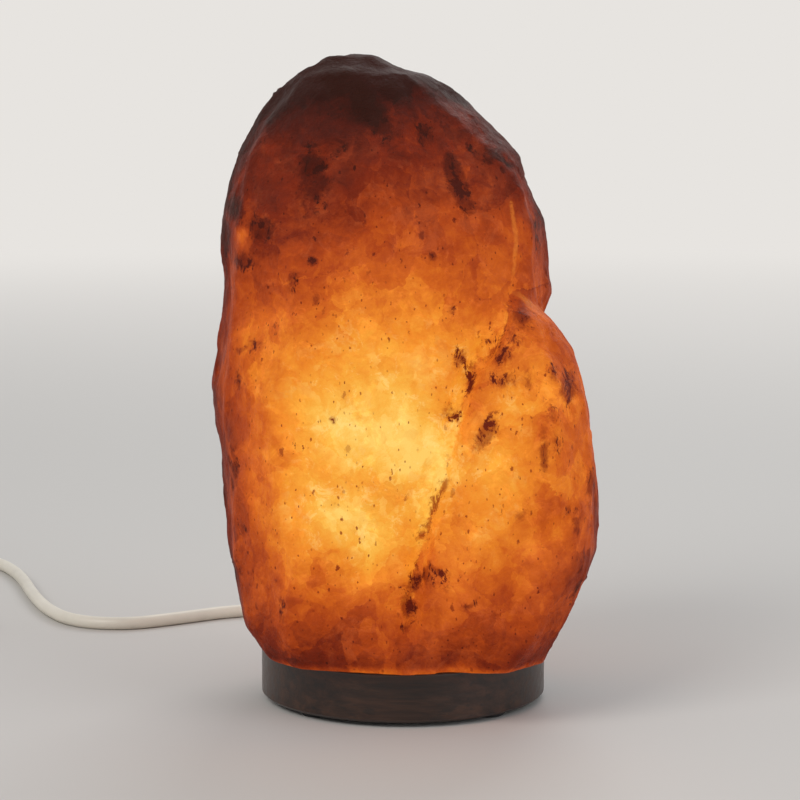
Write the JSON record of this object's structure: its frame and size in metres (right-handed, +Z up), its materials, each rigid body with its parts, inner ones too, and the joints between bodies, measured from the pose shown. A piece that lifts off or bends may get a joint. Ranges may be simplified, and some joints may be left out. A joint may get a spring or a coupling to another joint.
{
  "type": "salt crystal lamp",
  "caption": "Table lamp: a hewn rock salt crystal on a round wooden base, lit from inside by a small screw-in bulb, with a mains cord, an in-line rocker switch and a flat plug.",
  "frame": {"origin": "on the table, under the middle of the box that the lamp without its cord takes, which is under the wooden base", "axes": "+Z up, +X to the viewer's right, +Y away from the viewer"},
  "size_m": [0.3551, 0.3462, 0.2485],
  "materials": {
    "rock_salt": "rough translucent pink-orange salt crystal",
    "dark_wood": "dark stained, satin lacquer",
    "foot_rubber": "matt",
    "nylon": "matt",
    "zinc_steel": "zinc plated",
    "spring_steel": "bright sprung steel",
    "brass": "satin",
    "holder_plastic": "moulded, satin white",
    "carrier_plastic": "moulded, brown",
    "bulb_glass": "clear",
    "stem_glass": "clear",
    "cap_metal": "nickel plated",
    "black_glass": "glossy black",
    "solder": "dull",
    "tungsten": "glowing hot",
    "copper": "bare",
    "wire_sleeve": "matt",
    "cord_pvc": "soft cream white",
    "switch_plastic": "glossy white",
    "rocker_plastic": "glossy white",
    "plug_pvc": "moulded, satin white",
    "pin_metal": "nickel plated",
    "sleeve_plastic": "matt black"
  },
  "bodies": {
    "electrics": {"spring_clip": "spring_steel", "nipple": "zinc_steel", "hex_nut": "zinc_steel", "cord_grip": "holder_plastic", "grip_screw": "brass", "holder_cap": "holder_plastic", "holder_body": "holder_plastic", "contact_carrier": "carrier_plastic", "centre_contact": "brass", "side_contact": "brass", "terminal_screws": "brass", "core_wires": "wire_sleeve", "cord_inner": "cord_pvc", "cord_run": "cord_pvc", "cord_lead": "cord_pvc", "cord_coil": "cord_pvc", "cord_tail": "cord_pvc", "switch_bottom": "switch_plastic", "switch_top": "switch_plastic", "rocker_pin": "zinc_steel", "switch_contacts": "brass", "switch_screws": "zinc_steel", "plug_body": "plug_pvc", "plug_pins": "pin_metal", "pin_sleeves": "sleeve_plastic"},
    "lamp": {"salt_rock": "rock_salt", "wood_base": "dark_wood", "rubber_feet": "foot_rubber", "rock_plugs": "nylon", "base_screws": "zinc_steel"},
    "bulb_tip": {"bulb_contact": "solder"},
    "bulb": {"bulb_insulator": "black_glass", "bulb_cap": "cap_metal", "bulb_glass": "bulb_glass", "bulb_stem": "stem_glass", "bulb_leads": "copper", "bulb_filament": "tungsten"},
    "rocker": {"switch_rocker": "rocker_plastic"}
  },
  "joints": [
    {"name": "lamp_lift", "type": "slide", "parent": "electrics", "child": "lamp", "axis": [0, 0, 1], "range_m": [0, 0.12]},
    {"name": "bulb_rise", "type": "slide", "parent": "electrics", "child": "bulb_tip", "axis": [0, 0, 1], "range_m": [0, 0.00988]},
    {"name": "bulb_turn", "type": "hinge", "parent": "bulb_tip", "child": "bulb", "pos_m": [0, 0, 0.053], "axis": [0, 0, 1], "range_deg": [0, 1260]},
    {"name": "switch_rocker", "type": "hinge", "parent": "electrics", "child": "rocker", "pos_m": [-0.26, 0.184, 0.01], "axis": [1, 0, 0], "range_deg": [-24, 0]}
  ],
  "couplings": [
    {"joint": "bulb_turn", "follows": "bulb_rise", "rad_per_m": 2226.5}
  ]
}
